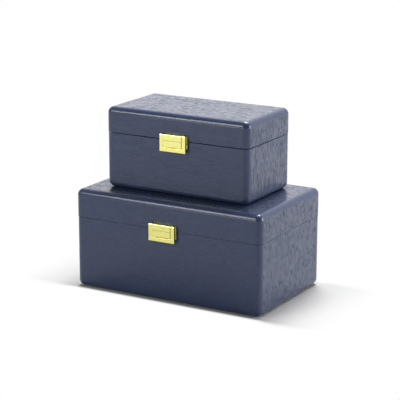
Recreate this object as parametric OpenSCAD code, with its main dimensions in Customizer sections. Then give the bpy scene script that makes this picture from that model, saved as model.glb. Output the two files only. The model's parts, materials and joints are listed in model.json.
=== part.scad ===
// Two lidded wooden keepsake boxes, the small one standing on the large one.
// Each box has four mitred walls and a bottom board, a lid of four mitred rails and
// a top board, a velvet lining, two butt hinges behind and a brass bail latch in front.
// The frame: X to the right along the fronts, Y to the back, Z up, origin on the floor
// under the middle of the large box. Millimetres.

/* [Large box] */
// Width of the large box
large_w = 235; // [150:1:400]
// Depth of the large box
large_d = 145; // [110:1:300]
// Height of the large box with its lid shut
large_h = 114; // [90:1:200]
// Height of the seam under the large lid
large_seam = 82; // [50:1:150]
// Gap between the large base's rim and its lid's rim
large_gap = 0.4; // [0.2:0.1:1.5]
// How far right of the middle the large box's latch sits
large_latch_x = -2.2; // [-20:0.1:20]

/* [Small box] */
// Width of the small box
small_w = 180; // [130:1:300]
// Depth of the small box
small_d = 100; // [80:1:200]
// Height of the small box with its lid shut
small_h = 92; // [70:1:160]
// Height of the seam under the small lid
small_seam = 63; // [40:1:120]
// Gap between the small base's rim and its lid's rim
small_gap = 1; // [0.2:0.1:1.5]
// How far right of the middle the small box's latch sits
small_latch_x = -1; // [-20:0.1:20]
// Where the small box stands on the large lid, to the right of the middle
stack_x = -3; // [-20:0.5:20]
// Where the small box stands on the large lid, behind the middle
stack_y = 4.5; // [-15:0.5:15]

/* [Woodwork] */
// Thickness of the walls and rails
wall_t = 9; // [8.5:0.5:14]
// Thickness of the lid's top board
top_t = 9; // [8.5:0.5:14]
// Thickness of the bottom board between the walls
floor_t = 5; // [3:0.5:10]
// Radius of every rounded outside edge and corner
edge_r = 7; // [2:0.5:8]
// How far the lid stands out past the base on every side
lid_overhang = 0.2; // [0:0.1:0.6]

/* [Lining] */
// Thickness of the velvet covered card on the walls
lining_t = 1.5; // [1:0.25:3]
// Thickness of the velvet covered boards on the floor and under the lid
board_t = 3; // [2:0.5:6]
// Gap left all round a lining piece so that it slides in
lining_fit = 0.15; // [0.05:0.05:0.5]
// How far the wall lining stops below the rim
lining_drop = 1.5; // [0.5:0.5:5]
// Radius of the soft long edges of the velvet boards
board_edge_r = 1; // [0.5:0.25:1.5]

/* [Hinges] */
// Length of one hinge along its pin
hinge_w = 25; // [18:1:35]
// Distance of each hinge's middle from the end of the box
hinge_inset = 38; // [30:1:60]
// Thickness of a hinge leaf
leaf_t = 1; // [0.8:0.1:1.5]
// How far a leaf reaches into the rim
leaf_reach = 6.5; // [5:0.5:8]
// Outside radius of the hinge barrel
barrel_r = 2.2; // [1.8:0.1:3]
// Number of knuckles that share the barrel
knuckles = 5; // [3:2:7]
// Gap between neighbouring knuckles
knuckle_gap = 0.2; // [0.1:0.05:0.4]
// Radius of the hinge pin
hinge_pin_r = 1; // [0.7:0.1:1.2]
// Radial running clearance on every pin
running_fit = 0.05; // [0.02:0.01:0.1]
// Gap between the barrel and the wood behind it
barrel_gap = 0.2; // [0.15:0.05:0.6]

/* [Screws and nails] */
// Radius of a hinge screw's shank
screw_r = 0.8; // [0.5:0.1:1]
// Radius of a hinge screw's countersunk head
screw_head_r = 1.7; // [1.4:0.1:2]
// Length of a hinge screw
screw_l = 8; // [5:0.5:12]
// Distance of a screw from the hinge's middle
screw_x = 8; // [6:0.5:9]
// Width of the slot in a screw's head
slot_w = 0.4; // [0.3:0.1:0.6]
// Depth of the slot in a screw's head
slot_depth = 0.4; // [0.2:0.1:0.6]
// Radius of a latch nail's shank
nail_r = 0.6; // [0.4:0.1:0.8]
// Radius of a latch nail's head
nail_head_r = 1; // [0.8:0.1:1.2]
// Thickness of a latch nail's head
nail_head_t = 0.4; // [0.3:0.1:0.6]
// Length of a latch nail's shank
nail_l = 6; // [4:0.5:8]

/* [Latch] */
// Width of the latch's bail
bail_w = 32.6; // [27:0.1:44]
// Width of the bail's arms and of its bottom bar
bail_bar = 4.5; // [3.5:0.25:6]
// How far the bail hangs below the seam
bail_below = 12.5; // [11:0.1:18]
// Thickness of the bail's sheet brass
bail_t = 0.8; // [0.6:0.1:1]
// Height of the latch pin above the seam
latch_pin_z = 5.4; // [4.5:0.1:7]
// Radius of the latch pin
latch_pin_r = 1.05; // [0.8:0.05:1.2]
// Radius of the bail's outside bottom corners
bail_corner_r = 0.8; // [0.4:0.1:1.5]
// Radius of the soft edges round the front of the bail
bail_edge_r = 0.3; // [0.1:0.05:0.35]
// Thickness of the latch's back plates
plate_t = 0.8; // [0.6:0.1:1.2]
// Radius of the soft edges round the front of the back plates
plate_edge_r = 0.4; // [0.1:0.05:0.5]
// How far the upper back plate reaches above the seam
plate_up = 6.3; // [5:0.1:7]
// How far the lower back plate reaches below the seam
plate_down = 8.4; // [7:0.1:10.5]
// Gap between the latch's upper and lower halves, in the middle of the seam
latch_gap = 0.3; // [0.2:0.05:1]
// How far above the seam the upper plate's nails sit
upper_nail_up = 2.2; // [1.6:0.1:3.5]
// How far below the seam the lower plate's nails sit
lower_nail_down = 4.6; // [2:0.1:5.5]
// Gap on each side between the bail and the blocks that it frames
block_gap = 0.35; // [0.2:0.05:0.6]
// Brass left above the pin's bore in the upper block
bore_wall = 0.45; // [0.3:0.05:1.5]
// How far both blocks stand out through the bail
block_proud = 0.6; // [0:0.1:0.8]
// Radius of the upper block's top edge and the lower block's foot
block_r = 0.9; // [0.4:0.1:1.2]
// Radius of the blocks' upright edges
block_end_r = 0.4; // [0.2:0.1:0.8]
// Gap between the bail's curled ends and the plate behind them
curl_gap = 0.2; // [0.15:0.05:0.5]
// Width of the slit where the curled sheet ends behind the arm
curl_slit = 0.35; // [0.2:0.05:0.6]

/* [Hidden] */
$fn = 64;

// Colours of the photographed pieces and of the hidden ones
NAVY = [0.22, 0.24, 0.32];
BRASS = [0.93, 0.86, 0.45];
VELVET = [0.30, 0.32, 0.42];

// A cut reaches this far past the wood that it opens
over = 1;

// Each box is a list of its width, depth, height, seam height, latch place and seam gap
LARGE = [large_w, large_d, large_h, large_seam, large_latch_x, large_gap];
SMALL = [small_w, small_d, small_h, small_seam, small_latch_x, small_gap];
function width(box) = box[0];
function depth(box) = box[1];
function height(box) = box[2];
function seam(box) = box[3];
function latch_x(box) = box[4];
function gap(box) = box[5];

// The rims on each side of the seam, and the lid's own outside width and depth
function base_rim(box) = seam(box) - gap(box) / 2;
function lid_rim(box) = seam(box) + gap(box) / 2;
function lid_w(box) = width(box) + 2 * lid_overhang;
function lid_d(box) = depth(box) + 2 * lid_overhang;
function rail_top(box) = height(box) - top_t;

// The hinge pin's axis runs behind the back wall, in the middle of the seam
function hinge_y(box) = depth(box) / 2 + lid_overhang + barrel_gap + barrel_r;
knuckle_w = (hinge_w - (knuckles - 1) * knuckle_gap) / knuckles;

// Latch sizes counted outward from the base's front face
curl_r = latch_pin_r + running_fit + bail_t;
latch_axis_out = lid_overhang + plate_t + curl_gap + curl_r;
bail_front = latch_axis_out + curl_r;
block_w = bail_w - 2 * bail_bar - 2 * block_gap;
block_face = bail_front + block_proud;
block_top = latch_pin_z + latch_pin_r + running_fit + bore_wall;
block_foot = -bail_below + bail_bar + block_gap;
nail_x = (bail_w - bail_bar) / 2;

// The small box stands on the middle of the large lid
module stacked() {
  translate([stack_x, stack_y, large_h]) children();
}

// Waste outside a rounded edge, as a flat outline round the edge's centre
module edge_waste(r = edge_r) {
  difference() {
    square(r + over);
    circle(r);
  }
}

// Waste outside a ball corner, round the ball's centre
module corner_waste() {
  difference() {
    cube(edge_r + over);
    sphere(edge_r);
  }
}

// One mitred board that runs along X, with its outer face at y = -reach
module mitred_board(run, reach, low, high) {
  translate([0, 0, low]) linear_extrude(high - low)
    polygon([
      [-run / 2, -reach],
      [run / 2, -reach],
      [run / 2 - wall_t, -reach + wall_t],
      [-run / 2 + wall_t, -reach + wall_t]
    ]);
}

// The upright rounded edges at both ends of that board
module upright_waste(run, reach, low, high) {
  for (side = [0, 1]) mirror([side, 0, 0])
    translate([run / 2 - edge_r, -reach + edge_r, low])
      linear_extrude(high - low) rotate(-90) edge_waste();
}

// One wall of the base, rounded at its ends, along its foot and at both lower corners
module base_wall(run, reach, high) {
  difference() {
    mitred_board(run, reach, 0, high);
    upright_waste(run, reach, edge_r, high + over);
    translate([-run / 2 + edge_r, -reach + edge_r, edge_r])
      rotate([90, 0, 90]) linear_extrude(run - 2 * edge_r) rotate(180) edge_waste();
    for (side = [0, 1]) mirror([side, 0, 0])
      translate([run / 2 - edge_r, -reach + edge_r, edge_r])
        rotate([180, 0, 0]) corner_waste();
  }
}

// One rail of the lid, rounded at its ends
module lid_rail(run, reach, low, high) {
  difference() {
    mitred_board(run, reach, low, high);
    upright_waste(run, reach, low - over, high + over);
  }
}

// Screw holes under the leaves, counted from the hinge's middle on the rim
module screw_holes(up) {
  for (side = [-1, 1]) translate([side * screw_x, -leaf_reach / 2, 0])
    mirror([0, 0, up ? 0 : 1]) translate([0, 0, -over]) cylinder(h = screw_l + over, r = screw_r);
}

// The two places where hinges sit, on the back face at the seam
module at_hinges(box) {
  for (side = [-1, 1]) translate([side * (width(box) / 2 - hinge_inset), 0, seam(box)]) children();
}

module base_front(box) {
  color(NAVY) difference() {
    base_wall(width(box), depth(box) / 2, base_rim(box));
    at_latch(box) nail_holes(-lower_nail_down);
  }
}

module base_back(box) {
  color(NAVY) difference() {
    rotate(180) base_wall(width(box), depth(box) / 2, base_rim(box));
    at_hinges(box) translate([0, depth(box) / 2, -gap(box) / 2]) {
      translate([-hinge_w / 2, -leaf_reach, -leaf_t]) cube([hinge_w, leaf_reach + over, leaf_t + over]);
      screw_holes(false);
    }
  }
}

module base_left(box) {
  color(NAVY) rotate(-90) base_wall(depth(box), width(box) / 2, base_rim(box));
}

module base_right(box) {
  color(NAVY) rotate(90) base_wall(depth(box), width(box) / 2, base_rim(box));
}

module base_floor(box) {
  room = [width(box) - 2 * wall_t, depth(box) - 2 * wall_t];
  color(NAVY) translate([-room.x / 2, -room.y / 2, 0]) cube([room.x, room.y, floor_t]);
}

// Velvet covered card round the walls, standing on the floor board
module base_lining(box) {
  room = [width(box) - 2 * wall_t - 2 * lining_fit, depth(box) - 2 * wall_t - 2 * lining_fit];
  top = base_rim(box) - lining_drop;
  color(VELVET) translate([0, 0, floor_t]) linear_extrude(top - floor_t) difference() {
    square(room, center = true);
    square([room.x - 2 * lining_t, room.y - 2 * lining_t], center = true);
  }
}

// A velvet covered board with soft upper edges, face up, its back at z = 0
module velvet_board(w, d) {
  difference() {
    translate([-w / 2, -d / 2, 0]) cube([w, d, board_t]);
    for (side = [0, 1]) mirror([0, side, 0])
      translate([-w / 2 - over, d / 2 - board_edge_r, board_t - board_edge_r])
        rotate([90, 0, 90]) linear_extrude(w + 2 * over) edge_waste(board_edge_r);
    for (side = [0, 1]) mirror([side, 0, 0])
      translate([w / 2 - board_edge_r, d / 2 + over, board_t - board_edge_r])
        rotate([90, 0, 0]) linear_extrude(d + 2 * over) edge_waste(board_edge_r);
  }
}

module floor_board(box) {
  inset = wall_t + lining_t + 2 * lining_fit;
  color(VELVET) translate([0, 0, floor_t]) velvet_board(width(box) - 2 * inset, depth(box) - 2 * inset);
}

module lid_front(box) {
  color(NAVY) difference() {
    lid_rail(lid_w(box), lid_d(box) / 2, lid_rim(box), rail_top(box));
    at_latch(box) nail_holes(upper_nail_up);
  }
}

module lid_back(box) {
  color(NAVY) difference() {
    rotate(180) lid_rail(lid_w(box), lid_d(box) / 2, lid_rim(box), rail_top(box));
    at_hinges(box) translate([0, lid_d(box) / 2, gap(box) / 2]) {
      translate([-hinge_w / 2, -leaf_reach, -over]) cube([hinge_w, leaf_reach + over, leaf_t + over]);
      screw_holes(true);
    }
  }
}

module lid_left(box) {
  color(NAVY) rotate(-90) lid_rail(lid_d(box), lid_w(box) / 2, lid_rim(box), rail_top(box));
}

module lid_right(box) {
  color(NAVY) rotate(90) lid_rail(lid_d(box), lid_w(box) / 2, lid_rim(box), rail_top(box));
}

// The lid's top board, rounded along every upper edge, at its corners and down its ends
module lid_top(box) {
  half = [lid_w(box) / 2, lid_d(box) / 2];
  low = rail_top(box);
  centre_z = height(box) - edge_r;
  color(NAVY) difference() {
    translate([-half.x, -half.y, low]) cube([2 * half.x, 2 * half.y, top_t]);
    for (x = [0, 1]) for (y = [0, 1]) mirror([x, 0, 0]) mirror([0, y, 0])
      translate([half.x - edge_r, half.y - edge_r, 0]) {
        translate([0, 0, low - over]) linear_extrude(centre_z - low + over) edge_waste();
        translate([0, 0, centre_z]) corner_waste();
      }
    for (y = [0, 1]) mirror([0, y, 0])
      translate([-half.x + edge_r, half.y - edge_r, centre_z])
        rotate([90, 0, 90]) linear_extrude(2 * (half.x - edge_r)) edge_waste();
    for (x = [0, 1]) mirror([x, 0, 0])
      translate([half.x - edge_r, half.y - edge_r, centre_z])
        rotate([90, 0, 0]) linear_extrude(2 * (half.y - edge_r)) edge_waste();
  }
}

// The velvet board under the lid's top, face down between the rails
module lid_lining(box) {
  inset = wall_t + lining_fit;
  color(VELVET) translate([0, 0, rail_top(box)]) mirror([0, 0, 1])
    velvet_board(lid_w(box) - 2 * inset, lid_d(box) - 2 * inset);
}

// One knuckle on the hinge's axis, with its bore and, if it has a leaf, the web to that leaf
module knuckle(index, web_low, web_reach) {
  start = -hinge_w / 2 + index * (knuckle_w + knuckle_gap);
  translate([start, 0, 0]) difference() {
    union() {
      rotate([0, 90, 0]) cylinder(h = knuckle_w, r = barrel_r);
      translate([0, -web_reach, web_low]) cube([knuckle_w, web_reach, leaf_t]);
    }
    translate([-over, 0, 0]) rotate([0, 90, 0]) cylinder(h = knuckle_w + 2 * over, r = hinge_pin_r + running_fit);
  }
}

// Slotted countersunk screw, pointing down, its flat head at z = 0
module screw() {
  difference() {
    union() {
      translate([0, 0, -leaf_t]) cylinder(h = leaf_t, r1 = screw_r, r2 = screw_head_r);
      translate([0, 0, -screw_l]) cylinder(h = screw_l - leaf_t, r = screw_r);
    }
    translate([-screw_head_r - over, -slot_w / 2, -slot_depth])
      cube([2 * (screw_head_r + over), slot_w, slot_depth + over]);
  }
}

// One leaf lying in the rim of the base, with every second knuckle from its first one
module leaf(first, back_gap, rim_gap) {
  web_low = -rim_gap / 2 - leaf_t;
  difference() {
    union() {
      translate([-hinge_w / 2, -back_gap - leaf_reach, web_low]) cube([hinge_w, leaf_reach, leaf_t]);
      for (i = [first : 2 : knuckles - 1]) knuckle(i, web_low, back_gap);
    }
    for (side = [-1, 1]) translate([side * screw_x, -back_gap - leaf_reach / 2, -rim_gap / 2])
      countersink();
  }
}

// The hole that a screw's head and shank sit in
module countersink() {
  translate([0, 0, -leaf_t]) cylinder(h = leaf_t, r1 = screw_r, r2 = screw_head_r);
  translate([0, 0, -leaf_t - over]) cylinder(h = leaf_t + over, r = screw_r);
}

module base_hinge_leaves(box) {
  color(BRASS) at_hinges(box) translate([0, hinge_y(box), 0])
    leaf(0, barrel_r + barrel_gap + lid_overhang, gap(box));
}

module lid_hinge_leaves(box) {
  color(BRASS) at_hinges(box) translate([0, hinge_y(box), 0])
    mirror([0, 0, 1]) leaf(1, barrel_r + barrel_gap, gap(box));
}

module base_hinge_screws(box) {
  color(BRASS) at_hinges(box) for (side = [-1, 1])
    translate([side * screw_x, depth(box) / 2 - leaf_reach / 2, -gap(box) / 2]) screw();
}

module lid_hinge_screws(box) {
  color(BRASS) at_hinges(box) for (side = [-1, 1])
    translate([side * screw_x, lid_d(box) / 2 - leaf_reach / 2, gap(box) / 2]) mirror([0, 0, 1]) screw();
}

module hinge_pins(box) {
  color(BRASS) at_hinges(box) translate([-hinge_w / 2, hinge_y(box), 0])
    rotate([0, 90, 0]) cylinder(h = hinge_w, r = hinge_pin_r);
}

// The latch's own frame: X along the front, Y out of the front face, Z up from the seam
module at_latch(box) {
  translate([latch_x(box), -depth(box) / 2, seam(box)]) mirror([0, 1, 0]) children();
}

// Two nail holes in the wood at one height, from outside the wood inward
module nail_holes(z) {
  for (side = [-1, 1]) translate([side * nail_x, lid_overhang + over, z])
    rotate([90, 0, 0]) cylinder(h = nail_l + lid_overhang + over, r = nail_r);
}

// Two nails with their heads on a plate whose front is at y = face
module nails(face, z) {
  for (side = [-1, 1]) translate([side * nail_x, face, z]) {
    rotate([90, 0, 0]) cylinder(h = nail_l, r = nail_r);
    rotate([-90, 0, 0]) cylinder(h = nail_head_t, r = nail_head_r);
  }
}

// A back plate from the seam to its outer end, pierced for its nails, z counted from the seam
module back_plate(back, reach, nail_away) {
  face = back + plate_t;
  difference() {
    translate([-bail_w / 2, back, latch_gap / 2]) cube([bail_w, plate_t, reach - latch_gap / 2]);
    for (side = [0, 1]) mirror([side, 0, 0])
      translate([bail_w / 2 - plate_edge_r, face - plate_edge_r, 0])
        linear_extrude(reach + over) edge_waste(plate_edge_r);
    translate([-bail_w / 2 - over, face - plate_edge_r, reach - plate_edge_r])
      rotate([90, 0, 90]) linear_extrude(bail_w + 2 * over) edge_waste(plate_edge_r);
    for (side = [-1, 1]) translate([side * nail_x, face + over, nail_away])
      rotate([90, 0, 0]) cylinder(h = plate_t + 2 * over, r = nail_r);
  }
}

// A block from the seam to its outer end, between the bail's arms, its ends rounded in front
module block(back, reach) {
  intersection() {
    translate([-block_w / 2, 0, 0]) rotate([90, 0, 90]) linear_extrude(block_w) difference() {
      translate([back, latch_gap / 2]) square([block_face - back, reach - latch_gap / 2]);
      translate([block_face - block_r, reach - block_r]) edge_waste(block_r);
    }
    linear_extrude(reach) difference() {
      translate([-block_w / 2, back]) square([block_w, block_face - back]);
      for (side = [0, 1]) mirror([side, 0])
        translate([block_w / 2 - block_end_r, block_face - block_end_r]) edge_waste(block_end_r);
    }
  }
}

// The lower plate with the block that the bail frames and hooks under when it is shut
module strike_plate(box) {
  color(BRASS) at_latch(box) mirror([0, 0, 1]) {
    back_plate(0, plate_down, lower_nail_down);
    block(0, -block_foot);
  }
}

module strike_nails(box) {
  color(BRASS) at_latch(box) nails(plate_t, -lower_nail_down);
}

// The upper plate with the block that the latch pin runs through
module latch_plate(box) {
  color(BRASS) at_latch(box) {
    back_plate(lid_overhang, plate_up, upper_nail_up);
    difference() {
      block(lid_overhang, block_top);
      translate([-block_w / 2 - over, latch_axis_out, latch_pin_z])
        rotate([0, 90, 0]) cylinder(h = block_w + 2 * over, r = latch_pin_r + running_fit);
    }
  }
}

module latch_nails(box) {
  color(BRASS) at_latch(box) nails(lid_overhang + plate_t, upper_nail_up);
}

module latch_pin(box) {
  color(BRASS) at_latch(box) translate([-bail_w / 2, latch_axis_out, latch_pin_z])
    rotate([0, 90, 0]) cylinder(h = bail_w, r = latch_pin_r);
}

// The bail's sheet in profile, from the window outward, its front edge at the window rounded
module sheet_profile() {
  difference() {
    translate([0, -bail_t]) square([bail_bar, bail_t]);
    translate([bail_edge_r, -bail_edge_r]) rotate(90) edge_waste(bail_edge_r);
  }
}

// The flat frame: two arms and a bottom bar, softened round the outside as well
module bail_frame() {
  difference() {
    union() {
      for (side = [0, 1]) mirror([side, 0, 0])
        translate([bail_w / 2 - bail_bar, bail_front, -bail_below])
          linear_extrude(bail_below + latch_pin_z) sheet_profile();
      translate([-bail_w / 2, bail_front, -bail_below + bail_bar])
        rotate([0, 90, 0]) linear_extrude(bail_w) sheet_profile();
    }
    translate([-bail_w / 2, bail_front - bail_edge_r, -bail_below + bail_edge_r])
      rotate([0, 90, 0]) linear_extrude(bail_w) edge_waste(bail_edge_r);
    for (side = [0, 1]) mirror([side, 0, 0]) {
      translate([bail_w / 2 - bail_edge_r, bail_front - bail_edge_r, -bail_below])
        linear_extrude(bail_below + latch_pin_z) edge_waste(bail_edge_r);
      translate([bail_w / 2 - bail_corner_r, bail_front + over, -bail_below + bail_corner_r])
        rotate([90, 0, 0]) linear_extrude(bail_t + 2 * over) rotate(-90) edge_waste(bail_corner_r);
    }
  }
}

// At the top of an arm the sheet curls back round the pin and ends at a slit
module bail_curl() {
  difference() {
    rotate([0, 90, 0]) rotate_extrude() difference() {
      square([curl_r, bail_bar]);
      translate([curl_r - bail_edge_r, bail_bar - bail_edge_r]) edge_waste(bail_edge_r);
      translate([curl_r - bail_edge_r, bail_edge_r]) rotate(-90) edge_waste(bail_edge_r);
    }
    translate([-over, 0, 0]) rotate([0, 90, 0])
      cylinder(h = bail_bar + 2 * over, r = latch_pin_r + running_fit);
    translate([-over, latch_pin_r + running_fit - curl_slit, -curl_r - over])
      cube([bail_bar + 2 * over, curl_slit, curl_r + over - latch_pin_r / 2]);
  }
}

module latch_bail(box) {
  color(BRASS) at_latch(box) {
    bail_frame();
    for (side = [0, 1]) mirror([side, 0, 0])
      translate([bail_w / 2 - bail_bar, latch_axis_out, latch_pin_z]) bail_curl();
  }
}

base_front(LARGE);  // large_base_front
base_back(LARGE);  // large_base_back
base_left(LARGE);  // large_base_left
base_right(LARGE);  // large_base_right
base_floor(LARGE);  // large_base_floor
base_lining(LARGE);  // large_base_lining
floor_board(LARGE);  // large_floor_board
base_hinge_leaves(LARGE);  // large_base_hinge_leaves
base_hinge_screws(LARGE);  // large_base_hinge_screws
hinge_pins(LARGE);  // large_hinge_pins
strike_plate(LARGE);  // large_strike_plate
strike_nails(LARGE);  // large_strike_nails
lid_front(LARGE);  // large_lid_front
lid_back(LARGE);  // large_lid_back
lid_left(LARGE);  // large_lid_left
lid_right(LARGE);  // large_lid_right
lid_top(LARGE);  // large_lid_top
lid_lining(LARGE);  // large_lid_lining
lid_hinge_leaves(LARGE);  // large_lid_hinge_leaves
lid_hinge_screws(LARGE);  // large_lid_hinge_screws
latch_plate(LARGE);  // large_latch_plate
latch_nails(LARGE);  // large_latch_nails
latch_pin(LARGE);  // large_latch_pin
latch_bail(LARGE);  // large_latch_bail
stacked() base_front(SMALL);  // small_base_front
stacked() base_back(SMALL);  // small_base_back
stacked() base_left(SMALL);  // small_base_left
stacked() base_right(SMALL);  // small_base_right
stacked() base_floor(SMALL);  // small_base_floor
stacked() base_lining(SMALL);  // small_base_lining
stacked() floor_board(SMALL);  // small_floor_board
stacked() base_hinge_leaves(SMALL);  // small_base_hinge_leaves
stacked() base_hinge_screws(SMALL);  // small_base_hinge_screws
stacked() hinge_pins(SMALL);  // small_hinge_pins
stacked() strike_plate(SMALL);  // small_strike_plate
stacked() strike_nails(SMALL);  // small_strike_nails
stacked() lid_front(SMALL);  // small_lid_front
stacked() lid_back(SMALL);  // small_lid_back
stacked() lid_left(SMALL);  // small_lid_left
stacked() lid_right(SMALL);  // small_lid_right
stacked() lid_top(SMALL);  // small_lid_top
stacked() lid_lining(SMALL);  // small_lid_lining
stacked() lid_hinge_leaves(SMALL);  // small_lid_hinge_leaves
stacked() lid_hinge_screws(SMALL);  // small_lid_hinge_screws
stacked() latch_plate(SMALL);  // small_latch_plate
stacked() latch_nails(SMALL);  // small_latch_nails
stacked() latch_pin(SMALL);  // small_latch_pin
stacked() latch_bail(SMALL);  // small_latch_bail
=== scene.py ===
# %% [markdown]
# # Two navy keepsake boxes
#
# A small lidded box stands on a large one. Both are wood under a satin navy lacquer that
# lets the open grain show, both are lined with velvet, and each is shut by a brass latch.
# The construction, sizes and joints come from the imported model, which this script loads
# as its frame. What is left to do here is to look at it as a photographer and a painter
# would: a camera, light, finishes with their real grain, gloss and wear, and the soft
# shape of the padded boards inside.

import json
import math

import bpy
import numpy as np
from mathutils import Matrix, Vector


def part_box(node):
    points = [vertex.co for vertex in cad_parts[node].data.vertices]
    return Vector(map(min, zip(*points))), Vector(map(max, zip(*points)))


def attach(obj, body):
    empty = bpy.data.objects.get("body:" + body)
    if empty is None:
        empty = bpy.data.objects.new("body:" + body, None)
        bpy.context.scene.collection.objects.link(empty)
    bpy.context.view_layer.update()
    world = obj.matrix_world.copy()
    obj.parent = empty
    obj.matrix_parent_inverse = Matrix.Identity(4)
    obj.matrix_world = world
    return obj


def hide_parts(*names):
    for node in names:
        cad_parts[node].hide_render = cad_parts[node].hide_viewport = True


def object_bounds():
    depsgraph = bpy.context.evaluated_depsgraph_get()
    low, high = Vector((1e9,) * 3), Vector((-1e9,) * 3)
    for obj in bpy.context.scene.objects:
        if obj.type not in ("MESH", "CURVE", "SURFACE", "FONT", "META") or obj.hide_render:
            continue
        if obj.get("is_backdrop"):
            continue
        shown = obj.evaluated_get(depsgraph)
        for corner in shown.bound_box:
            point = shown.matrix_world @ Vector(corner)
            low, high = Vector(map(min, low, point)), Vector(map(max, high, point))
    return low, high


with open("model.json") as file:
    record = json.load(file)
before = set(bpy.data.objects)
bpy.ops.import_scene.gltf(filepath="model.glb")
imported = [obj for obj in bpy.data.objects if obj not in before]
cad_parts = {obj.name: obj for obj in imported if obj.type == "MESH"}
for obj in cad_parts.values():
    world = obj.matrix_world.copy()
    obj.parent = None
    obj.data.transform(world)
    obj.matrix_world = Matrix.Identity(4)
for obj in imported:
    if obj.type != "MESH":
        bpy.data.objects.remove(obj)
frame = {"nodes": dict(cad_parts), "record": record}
cad_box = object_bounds()
nodes = frame["nodes"]
print(len(nodes), "nodes; box", [[round(v, 4) for v in corner] for corner in cad_box])

# %% [markdown]
# ## The camera
#
# The photograph was taken with a long lens from a little above and to the right. A camera
# could be placed by eye and nudged, but the boxes' straight edges say exactly where it
# stood, so its place is written as the angles and the distance that fit those edges, and
# its turn is built from three axes at right angles.

# %% The camera
camera_turn = math.radians(29.94)
camera_rise = math.radians(14.73)
camera_roll = math.radians(0.11)
camera_distance = 1.737
camera_target = Vector((0.0016, 0.0009, 0.0999))
sensor_width = 36.0
lens_length = 138.4
clip_distance = 50


def direction(turn, rise):
    """The unit vector turned from the front (-Y) towards the right (+X) and raised: its
    level part is cos(rise), shared as sin(turn) and -cos(turn), and its height sin(rise)."""
    level = math.cos(rise)
    return Vector((math.sin(turn) * level, -math.cos(turn) * level, math.sin(rise)))


def camera_axes(turn, rise, roll):
    """The camera's right, up and backward axes: backward points from the target to the
    camera, right is level, up is square to both, and the roll turns right towards up."""
    back = direction(turn, rise)
    right = Vector((0, 0, 1)).cross(back).normalized()
    up = back.cross(right)
    rolled_right = right * math.cos(roll) + up * math.sin(roll)
    return rolled_right, back.cross(rolled_right), back


right, up, back = camera_axes(camera_turn, camera_rise, camera_roll)
camera_data = bpy.data.cameras.new("studio_camera")
camera_data.sensor_width = sensor_width
camera_data.lens = lens_length
camera_data.clip_end = clip_distance
camera = bpy.data.objects.new("studio_camera", camera_data)
turn_matrix = Matrix((right, up, back)).transposed().to_4x4()
camera.matrix_world = Matrix.Translation(camera_target + back * camera_distance) @ turn_matrix
bpy.context.scene.collection.objects.link(camera)
bpy.context.scene.camera = camera
print("camera at", [round(v, 3) for v in camera.location])

# %% [markdown]
# ## Helpers for node materials
#
# A procedural finish is a small graph of shader nodes. These helpers add a node, set its
# plain values by socket name and join sockets, so that each material below reads as a
# list of what it is made of.


# %% Node helpers
def add_node(tree, kind, values=None, **settings):
    """One shader node: settings are its own properties, values fill its input sockets."""
    node = tree.nodes.new(kind)
    for name, value in settings.items():
        setattr(node, name, value)
    for name, value in (values or {}).items():
        node.inputs[name].default_value = value
    return node


def maths(tree, operation, first, second=0.0, third=0.0, clamp=False):
    """A Math node on numbers or sockets, returning its result socket. MULTIPLY_ADD gives
    first x second + third."""
    node = add_node(tree, "ShaderNodeMath", operation=operation, use_clamp=clamp)
    for index, value in enumerate((first, second, third)):
        if isinstance(value, bpy.types.NodeSocket):
            tree.links.new(value, node.inputs[index])
        else:
            node.inputs[index].default_value = value
    return node.outputs[0]


def smooth_range(tree, value, low, high, to_low=0.0, to_high=1.0):
    """Maps low..high onto to_low..to_high with a soft start and end."""
    node = add_node(tree, "ShaderNodeMapRange", interpolation_type="SMOOTHSTEP")
    limits = {"From Min": low, "From Max": high, "To Min": to_low, "To Max": to_high}
    for name, number in limits.items():
        node.inputs[name].default_value = number
    tree.links.new(value, node.inputs["Value"])
    return node.outputs["Result"]


def mix_colours(tree, factor, first, second):
    """A colour between two colours or sockets, by a factor socket."""
    node = add_node(tree, "ShaderNodeMix", data_type="RGBA")
    tree.links.new(factor, node.inputs["Factor"])
    for name, value in (("A", first), ("B", second)):
        socket = [s for s in node.inputs if s.name == name and s.type == "RGBA"][0]
        if isinstance(value, bpy.types.NodeSocket):
            tree.links.new(value, socket)
        else:
            socket.default_value = (*value, 1.0)
    return [s for s in node.outputs if s.type == "RGBA"][0]


def stretched_noise(tree, coordinates, scale, detail, roughness):
    """Noise over coordinates that are first scaled by (x, y, z) periods per metre."""
    mapping = add_node(tree, "ShaderNodeMapping", {"Scale": scale})
    tree.links.new(coordinates, mapping.inputs["Vector"])
    settings = {"Scale": 1.0, "Detail": detail, "Roughness": roughness}
    noise = add_node(tree, "ShaderNodeTexNoise", settings)
    tree.links.new(mapping.outputs["Vector"], noise.inputs["Vector"])
    return noise.outputs["Fac"]


def empty_material(name):
    """A material whose graph holds nothing but its output node."""
    material = bpy.data.materials.new(name)
    material.use_nodes = True
    tree = material.node_tree
    tree.nodes.clear()
    return material, tree, add_node(tree, "ShaderNodeOutputMaterial")


def principled_material(name, **values):
    """A material of one Principled shader. Each value fills the socket of that name, with
    its underscores read as spaces."""
    material, tree, output = empty_material(name)
    shader = add_node(tree, "ShaderNodeBsdfPrincipled")
    for socket_name, value in values.items():
        shader.inputs[socket_name.replace("_", " ")].default_value = value
    tree.links.new(shader.outputs[0], output.inputs["Surface"])
    return material, tree, shader


def bump_normal(tree, shader, height, strength, distance):
    """Bends the shader's normal by a height socket, through a Bump node."""
    bump = add_node(tree, "ShaderNodeBump", {"Strength": strength, "Distance": distance})
    tree.links.new(height, bump.inputs["Height"])
    tree.links.new(bump.outputs[0], shader.inputs["Normal"])


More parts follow.
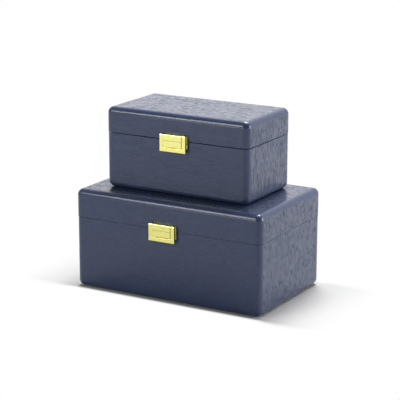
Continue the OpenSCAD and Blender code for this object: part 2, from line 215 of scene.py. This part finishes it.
def new_group(name, inputs, outputs):
    """An empty node group with these (name, kind) inputs and outputs, and the two nodes
    that stand for them inside it."""
    group = bpy.data.node_groups.new(name, "ShaderNodeTree")
    for socket_name, kind in inputs:
        group.interface.new_socket(socket_name, in_out="INPUT", socket_type=kind)
    for socket_name, kind in outputs:
        group.interface.new_socket(socket_name, in_out="OUTPUT", socket_type=kind)
    return group, add_node(group, "NodeGroupInput"), add_node(group, "NodeGroupOutput")


print("helpers ready")

# %% [markdown]
# ## Where a surface is flat and which way its grain runs
#
# On the real boxes the veneer's grain runs along the front, the back and the top, and up
# and down on the two ends. The rounded edges are sanded smooth, so they show no pores and
# carry less of the clear coat. Both facts can be read from the direction that a surface
# faces: on a flat side one part of the normal is 1, on a rounded edge none is. The normal
# is taken in the object's own axes, so it stays the same when a lid opens.


# %% The facing group
flat_range = (0.98, 0.9995)
side_range = (0.6, 0.8)


def facing_group():
    """From the sizes of the normal's parts, puts out Flat, 1 where the largest part is
    nearly 1, Ends, 1 where the X part is large, and Fronts, 1 where the Y part is."""
    outputs = [(name, "NodeSocketFloat") for name in ("Flat", "Ends", "Fronts")]
    group, _, result = new_group("facing", [], outputs)
    coordinates = add_node(group, "ShaderNodeTexCoord")
    parts = add_node(group, "ShaderNodeSeparateXYZ")
    group.links.new(coordinates.outputs["Normal"], parts.inputs[0])
    sizes = [maths(group, "ABSOLUTE", parts.outputs[axis]) for axis in range(3)]
    largest = maths(group, "MAXIMUM", maths(group, "MAXIMUM", sizes[0], sizes[1]), sizes[2])
    group.links.new(smooth_range(group, largest, *flat_range), result.inputs["Flat"])
    group.links.new(smooth_range(group, sizes[0], *side_range), result.inputs["Ends"])
    group.links.new(smooth_range(group, sizes[1], *side_range), result.inputs["Fronts"])
    return group


facing = facing_group()
print("group", facing.name)

# %% [markdown]
# ## The open grain
#
# Open grained wood has pores: hair-thin grooves a few millimetres long that lacquer
# doesn't fill. Noise that is stretched along the grain and cut softly at a threshold gives
# such grooves. Wider noises, added before the cut, give the bands and patches where the
# pores lie closer. The group does this along X and along Z, and takes the one that the
# surface's facing asks for.


# %% The grain group
# each noise: its periods per metre along X, Y and Z, its detail and its roughness
pore_noise = ((170, 800, 800), 2.0, 0.5)
band_noise = ((80, 400, 400), 2.0, 0.6)
patch_noise = ((45, 110, 110), 2.0, 0.5)
crowding = 0.25
pore_slope = (-0.08, 0.12)


def grain_group():
    """Closeness = pores + crowding x (bands - 0.5) + crowding x (patches - 0.5), and a pore
    lies where it passes the threshold. Puts out Pores, 1 inside a pore, Height, which is
    1 - Pores, and Patches, slow changes of tone."""
    group, given, result = new_group(
        "open_grain",
        [(name, "NodeSocketFloat") for name in ("Ends", "Pore threshold")],
        [(name, "NodeSocketFloat") for name in ("Height", "Pores", "Patches")],
    )
    coordinates = add_node(group, "ShaderNodeTexCoord").outputs["Object"]

    def along_or_up(scale, detail, roughness):
        """One noise stretched along X, or along Z where the surface is an end."""
        node = add_node(group, "ShaderNodeMix", data_type="FLOAT")
        group.links.new(given.outputs["Ends"], node.inputs["Factor"])
        for name, stretch in (("A", scale), ("B", scale[::-1])):
            noise = stretched_noise(group, coordinates, stretch, detail, roughness)
            group.links.new(noise, node.inputs[name])
        return node.outputs[0]

    closeness = along_or_up(*pore_noise)
    bands = along_or_up(*band_noise)
    patches = along_or_up(*patch_noise)
    for wider in (patches, bands):
        offset = maths(group, "SUBTRACT", wider, 0.5)
        closeness = maths(group, "MULTIPLY_ADD", offset, crowding, closeness)
    depth = maths(group, "SUBTRACT", closeness, given.outputs["Pore threshold"])
    inside = smooth_range(group, depth, *pore_slope)
    group.links.new(maths(group, "SUBTRACT", 1.0, inside), result.inputs["Height"])
    group.links.new(inside, result.inputs["Pores"])
    group.links.new(patches, result.inputs["Patches"])
    return group


open_grain = grain_group()
print("group", open_grain.name)

# %% [markdown]
# ## The navy lacquer
#
# The paint is a dark greyed navy under a clear coat. Both are weak mirrors when seen
# square on and strong ones at a glancing angle, which is why the tops look pale and the
# fronts dark under the same light. The coat doesn't bridge the pores, so each pore is
# darker, rougher and without gloss. On real boxes this break in the gloss shows the grain
# far more than the pores' depth does, so the coat's weight carries it and the bump is
# slight. The front and back boards are filled and rubbed down more, and the coat thins
# out on the rounded edges.

# %% The navy lacquer
navy = (0.042, 0.058, 0.122)
navy_in_pores = (0.024, 0.035, 0.080)
navy_worn = (0.049, 0.067, 0.134)
worn_patches = (0.3, 0.7)
pore_threshold = 0.52
filled_front = 0.3
paint_roughness = 0.2
rougher_in_pores = 0.2
edge_coat = 0.5
front_less = 0.2
pore_bump = (0.3, 0.00002)


def navy_lacquer():
    """Pores = the grain's pores x flat, and x filled_front on fronts. Coat weight =
    edge_coat + flat x (1 - edge_coat - pores - front_less x fronts). Roughness =
    paint_roughness + rougher_in_pores x flat x pores. Colour turns to navy_in_pores."""
    material, tree, shader = principled_material(
        "navy_lacquer", IOR=1.33, Coat_IOR=1.4, Coat_Roughness=0.22
    )
    sides = add_node(tree, "ShaderNodeGroup", node_tree=facing)
    grain = add_node(
        tree, "ShaderNodeGroup", {"Pore threshold": pore_threshold}, node_tree=open_grain
    )
    flat, ends, fronts = (sides.outputs[name] for name in ("Flat", "Ends", "Fronts"))
    tree.links.new(ends, grain.inputs["Ends"])

    open_pores = maths(tree, "MULTIPLY_ADD", fronts, filled_front - 1.0, 1.0)
    flat_pores = maths(tree, "MULTIPLY", grain.outputs["Pores"], flat)
    pores = maths(tree, "MULTIPLY", flat_pores, open_pores)

    patches = smooth_range(tree, grain.outputs["Patches"], *worn_patches)
    toned = mix_colours(tree, patches, navy, navy_worn)
    tree.links.new(mix_colours(tree, pores, toned, navy_in_pores), shader.inputs["Base Color"])

    rougher = maths(tree, "MULTIPLY", pores, flat)
    roughness = maths(tree, "MULTIPLY_ADD", rougher, rougher_in_pores, paint_roughness)
    tree.links.new(roughness, shader.inputs["Roughness"])

    on_flats = maths(tree, "MULTIPLY_ADD", pores, -1.0, 1.0 - edge_coat)
    on_flats = maths(tree, "MULTIPLY_ADD", fronts, -front_less, on_flats)
    coat = maths(tree, "MULTIPLY_ADD", flat, on_flats, edge_coat)
    tree.links.new(coat, shader.inputs["Coat Weight"])

    height = maths(tree, "MULTIPLY", grain.outputs["Height"], flat)
    bump_normal(tree, shader, height, *pore_bump)
    return material


lacquer = navy_lacquer()
print("material", lacquer.name)

# %% [markdown]
# ## The brass
#
# The latches and hinges are polished brass of a pale lemon gold. Polished metal shows no
# colour of its own but what it mirrors, tinted, so its look comes from its tint, a small
# roughness that varies with handling, and fine polishing lines.

# %% The brass
brass_tint = (0.95, 0.90, 0.31)
brass_dull = (0.89, 0.81, 0.26)
handling_noise = ((160, 160, 160), 3.0, 0.55)
handled = (0.5, 0.8)
polished_roughness = 0.2
rougher_handled = 0.1
line_noise = ((300, 9000, 9000), 1.0, 0.5)
line_bump = (0.08, 0.00002)


def polished_brass():
    """Dull = where the handling noise is high. Colour goes from brass_tint to brass_dull by
    it, and roughness = polished_roughness + rougher_handled x dull. The lines are a noise
    stretched along X that only bends the normal."""
    material, tree, shader = principled_material("polished_brass", Metallic=1.0)
    coordinates = add_node(tree, "ShaderNodeTexCoord").outputs["Object"]
    handling = stretched_noise(tree, coordinates, *handling_noise)
    dull = smooth_range(tree, handling, *handled)
    tree.links.new(mix_colours(tree, dull, brass_tint, brass_dull), shader.inputs["Base Color"])
    roughness = maths(tree, "MULTIPLY_ADD", dull, rougher_handled, polished_roughness)
    tree.links.new(roughness, shader.inputs["Roughness"])
    lines = stretched_noise(tree, coordinates, *line_noise)
    bump_normal(tree, shader, lines, *line_bump)
    return material


brass = polished_brass()
print("material", brass.name)

# %% [markdown]
# ## The velvet
#
# Velvet is a short upright pile. It is dark when looked straight into and pale at its
# rims, which a sheen layer gives, and it is brushed into slightly lighter and darker
# patches. A fine noise in the bump stands for the tips of the pile.

# %% The velvet
velvet_deep = (0.045, 0.052, 0.085)
velvet_brushed = (0.075, 0.085, 0.13)
brush_noise = ((25, 25, 25), 3.0, 0.6)
brushed_range = (0.35, 0.7)
pile_noise = ((3500, 3500, 3500), 1.0, 0.5)
pile_bump = (0.5, 0.0002)


def navy_velvet():
    """Colour goes from velvet_deep to velvet_brushed by a slow noise. The sheen lightens the
    pile at a glancing angle, and a fine noise bends the normal at the pile's tips."""
    material, tree, shader = principled_material(
        "navy_velvet",
        Roughness=0.9, Sheen_Weight=0.6, Sheen_Roughness=0.35, Specular_IOR_Level=0.15,
    )
    coordinates = add_node(tree, "ShaderNodeTexCoord").outputs["Object"]
    slow = stretched_noise(tree, coordinates, *brush_noise)
    brushed = smooth_range(tree, slow, *brushed_range)
    colour = mix_colours(tree, brushed, velvet_deep, velvet_brushed)
    tree.links.new(colour, shader.inputs["Base Color"])
    tips = stretched_noise(tree, coordinates, *pile_noise)
    bump_normal(tree, shader, tips, *pile_bump)
    return material


velvet = navy_velvet()
print("material", velvet.name)

# %% [markdown]
# ## Dressing the CAD nodes
#
# Each node has one material slot in the record. The record says which finish a node takes,
# so the finish is looked up there and no list of names has to be kept twice.

# %% Dress the nodes
finishes = {"navy_wood": lacquer, "brass": brass, "velvet": velvet}
slot_of_node = {part["node"]: part["material_slot"] for part in frame["record"]["subparts"]}
for name, node in nodes.items():
    node.data.materials.clear()
    node.data.materials.append(finishes[slot_of_node[name]])
print({slot: list(slot_of_node.values()).count(slot) for slot in finishes})

# %% [markdown]
# ## The padded velvet boards
#
# A box maker glues velvet over a thin card with a little wadding between them and drops
# the board into the box. The cloth pulls the edges round and the wadding lifts the middle,
# which a flat board doesn't show. The CAD model has the card's space, so each pad is made
# inside it: two height fields over one grid that share their rim. The grid's lines lie
# closer near the rim, where the cloth turns over, and the crown is a smooth hill. The
# lining round the walls is cloth glued flat on stiff card, so it keeps its CAD shape.

# %% The pads
cloth_roll = 0.0025
crown_height = 0.0007
crown_power = 4
back_share = 0.3
rim_steps = np.array([0.0, 0.06, 0.16, 0.32, 0.52, 0.76, 1.0])
middle_lines = 33


def grid_lines(half):
    """Stations from -half to half: rim_steps of the cloth's roll at both ends, and
    middle_lines even ones between them."""
    near_rim = half - cloth_roll * rim_steps
    middle = np.linspace(-near_rim[-1], near_rim[-1], middle_lines)
    return np.concatenate((-near_rim[:-1], middle, near_rim[-2::-1]))


def both_faces(upper, lower, shows):
    """The quads of two grids of point numbers. The upper grid's turn to the side that
    shows, the lower grid's to the other, so that all normals point out."""
    faces = []
    for index, outward in ((upper, shows), (lower, -shows)):
        corners = (index[:-1, :-1], index[1:, :-1], index[1:, 1:], index[:-1, 1:])
        quads = np.stack(corners, -1).reshape(-1, 4)
        faces.append(quads if outward > 0 else quads[:, ::-1])
    return np.concatenate(faces)


def padded_board(name, node, body, shows):
    """A pad in the box of a CAD board. Face height = rim x ((1 - back_share) x thickness -
    crown_height x (1 - hill)), back depth = rim x back_share x thickness, where rim is a
    quarter circle over the cloth's roll and hill = (1 - x^power)(1 - y^power), with x and y
    as shares of the half sizes and crown_power as the power. shows is 1 if the face looks
    up and -1 if it looks down."""
    low, high = (np.array(corner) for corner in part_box(node))
    middle, half = (low + high) / 2, (high - low) / 2
    x, y = np.meshgrid(grid_lines(half[0]), grid_lines(half[1]), indexing="ij")
    inset = np.minimum(half[0] - np.abs(x), half[1] - np.abs(y))
    rim = np.sqrt(1 - (1 - np.clip(inset / cloth_roll, 0, 1)) ** 2)
    hill = (1 - (x / half[0]) ** crown_power) * (1 - (y / half[1]) ** crown_power)
    thickness = 2 * half[2]
    face = rim * ((1 - back_share) * thickness - crown_height * (1 - hill))
    back = -rim * back_share * thickness
    rim_height = middle[2] - shows * (half[2] - back_share * thickness)
    sheets = [
        np.stack((middle[0] + x, middle[1] + y, rim_height + shows * z), -1).reshape(-1, 3)
        for z in (face, back)
    ]
    points = np.concatenate(sheets)

    # the two sheets share their rim, so the lower one's own rim points are left out
    upper = np.arange(x.size).reshape(x.shape)
    on_rim = np.zeros(x.shape, bool)
    on_rim[[0, -1], :] = on_rim[:, [0, -1]] = True
    lower = np.where(on_rim, upper, upper + x.size)
    faces = both_faces(upper, lower, shows)
    used, renumbered = np.unique(faces, return_inverse=True)

    mesh = bpy.data.meshes.new(name)
    mesh.from_pydata(points[used].tolist(), [], renumbered.reshape(faces.shape).tolist())
    mesh.materials.append(velvet)
    mesh.shade_smooth()
    pad = bpy.data.objects.new(name, mesh)
    bpy.context.scene.collection.objects.link(pad)
    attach(pad, body)
    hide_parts(node)
    return pad


for size in ("large", "small"):
    floor_pad = padded_board(f"{size}_floor_pad", f"{size}_floor_board", f"{size}_base", 1)
    lid_pad = padded_board(f"{size}_lid_pad", f"{size}_lid_lining", f"{size}_lid", -1)
    for pad in (floor_pad, lid_pad):
        print(pad.name, "has", len(pad.data.polygons), "faces")

# %% [markdown]
# ## The floor
#
# The boxes stand on a wide pale floor. A lit floor that is bright enough to look white
# would throw too much light up at the boxes, so the floor's colour is a light grey, and it
# is plain white only where the camera looks at it beyond the boxes' shadow, or where
# mirrors look at it far away. Close to the boxes it is lit like any surface, so that it
# keeps their shadow. In the photograph the shade is wide at the boxes' two ends and no more
# than a thin line in front, so the lit part reaches ten times as far out at the ends.

# %% The floor
floor_half = 12.0
floor_colour = 0.48
large_box_half = (0.1175, 0.0725)
shadow_reach = 0.008
side_reach = 0.085
side_softening = 0.6
mirror_reach = (0.5, 1.2)


def floor_material():
    """With dx and dy how far a point lies outside the large box, camera rays see white
    where dx / side_reach + dy / (shadow_reach + side_softening x dx) passes 1. Mirror and
    glass rays see it where dx + dy passes mirror_reach."""
    material, tree, output = empty_material("studio_floor")
    lit = add_node(tree, "ShaderNodeBsdfDiffuse", {"Color": (*[floor_colour] * 3, 1)})
    white = add_node(tree, "ShaderNodeEmission", {"Color": (1, 1, 1, 1), "Strength": 1.0})

    coordinates = add_node(tree, "ShaderNodeTexCoord")
    parts = add_node(tree, "ShaderNodeSeparateXYZ")
    tree.links.new(coordinates.outputs["Object"], parts.inputs[0])
    outside = []
    for axis, half in zip("XY", large_box_half):
        past = maths(tree, "SUBTRACT", maths(tree, "ABSOLUTE", parts.outputs[axis]), half)
        outside.append(maths(tree, "MAXIMUM", past, 0.0))
    dx, dy = outside

    reach = maths(tree, "MULTIPLY_ADD", dx, side_softening, shadow_reach)
    share = maths(tree, "MULTIPLY_ADD", dx, 1 / side_reach, maths(tree, "DIVIDE", dy, reach))
    beyond_shadow = smooth_range(tree, share, 0.0, 1.0)
    beyond_mirror = smooth_range(tree, maths(tree, "ADD", dx, dy), *mirror_reach)

    rays = add_node(tree, "ShaderNodeLightPath").outputs
    seen_white = maths(tree, "MULTIPLY", rays["Is Camera Ray"], beyond_shadow)
    mirrored = maths(tree, "ADD", rays["Is Glossy Ray"], rays["Is Transmission Ray"], clamp=True)
    shown_white = maths(tree, "MULTIPLY_ADD", mirrored, beyond_mirror, seen_white, clamp=True)
    mix = add_node(tree, "ShaderNodeMixShader")
    for socket, index in ((shown_white, 0), (lit.outputs[0], 1), (white.outputs[0], 2)):
        tree.links.new(socket, mix.inputs[index])
    tree.links.new(mix.outputs[0], output.inputs["Surface"])
    return material


corners = np.array([(-1, -1, 0), (1, -1, 0), (1, 1, 0), (-1, 1, 0)], float) * floor_half
floor_mesh = bpy.data.meshes.new("studio_floor")
floor_mesh.from_pydata(corners.tolist(), [], [(0, 1, 2, 3)])
floor_mesh.materials.append(floor_material())
floor = bpy.data.objects.new("studio_floor", floor_mesh)
bpy.context.scene.collection.objects.link(floor)
floor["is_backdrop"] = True

bpy.context.scene.view_settings.view_transform = "Standard"
print("floor", 2 * floor_half, "m wide")

# %% [markdown]
# ## The sky
#
# The sky is not even. A photographer who shoots against white lights the white wall, so
# most light comes round the boxes from behind and from the sides, and the room behind the
# camera stays dim. That dimness is what keeps the fronts dark and draws the dark bands on
# the rounded edges. The sky's strength is worked out from its direction alone: bright
# behind, dim towards the room and overhead.


# %% The sky
wall_light = 0.93
room_light = 0.05
room_turn = math.radians(15)
room_rise = math.radians(30)
turning = (-0.35, 0.25)


def studio_sky():
    """Strength falls smoothly from wall_light to room_light as a direction turns from the
    wall behind the boxes towards the room, by its cosine to the room's direction."""
    world = bpy.data.worlds.new("studio_sky")
    world.use_nodes = True
    tree = world.node_tree
    tree.nodes.clear()
    outward = add_node(tree, "ShaderNodeTexCoord").outputs["Generated"]
    towards_room = add_node(tree, "ShaderNodeVectorMath", operation="DOT_PRODUCT")
    towards_room.inputs[1].default_value = direction(room_turn, room_rise)
    tree.links.new(outward, towards_room.inputs[0])
    cosine = towards_room.outputs["Value"]
    strength = smooth_range(tree, cosine, *turning, wall_light, room_light)
    background = add_node(tree, "ShaderNodeBackground", {"Color": (1, 1, 1, 1)})
    tree.links.new(strength, background.inputs["Strength"])
    output = add_node(tree, "ShaderNodeOutputWorld")
    tree.links.new(background.outputs[0], output.inputs["Surface"])
    return world


bpy.context.scene.world = studio_sky()
print("sky from", room_light, "to", wall_light)

# %% [markdown]
# ## The lamps
#
# Four soft lamps finish the light. The key lamp stands left of the camera and draws the
# thin bright line along the lids' front edges. A low, weak one fills the fronts. A wide one
# high behind gives the tops their pale glance, and it stands clear of the direction that
# the top edges mirror, or it would draw a second line there. One at the right behind
# lights the right ends.


# %% The lamps
lamp_aim = Vector((0, 0, 0.1))
# turn and rise in degrees, distance, width and height in metres, watts
lamps = {
    "key_lamp": (-31, 29, 1.6, 0.45, 0.5, 7.5),
    "fill_lamp": (-14, 6, 2.0, 1.2, 0.5, 5.5),
    "back_lamp": (192, 62, 2.2, 1.2, 1.4, 80),
    "side_lamp": (118, 12, 2.0, 1.0, 1.0, 28),
}


def soft_lamp(name, turn, rise, distance, width, height, watts):
    """A rectangular lamp at the distance from lamp_aim in the direction of turn (from the
    front towards the right) and rise, facing lamp_aim. The camera doesn't see it."""
    data = bpy.data.lights.new(name, "AREA")
    data.shape = "RECTANGLE"
    data.size, data.size_y = width, height
    data.energy = watts
    lamp = bpy.data.objects.new(name, data)
    outward = direction(math.radians(turn), math.radians(rise))
    lamp.location = lamp_aim + outward * distance
    lamp.rotation_euler = outward.to_track_quat("Z", "Y").to_euler()
    lamp.visible_camera = False
    bpy.context.scene.collection.objects.link(lamp)


for name, values in lamps.items():
    soft_lamp(name, *values)
print(len(lamps), "lamps")

# %% [markdown]
# ## Measure and finish
#
# A finish mustn't change the object's size. The box round everything is measured again and set
# beside the CAD model's own, so that the two can be compared, and the largest difference is
# printed.

# %% Measure and finish
visual_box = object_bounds()
plain = [[[float(v) for v in corner] for corner in box] for box in (cad_box, visual_box)]
growth = np.abs(np.array(plain[0]) - np.array(plain[1]))
print("grown by at most", round(float(growth.max()), 5), "m")
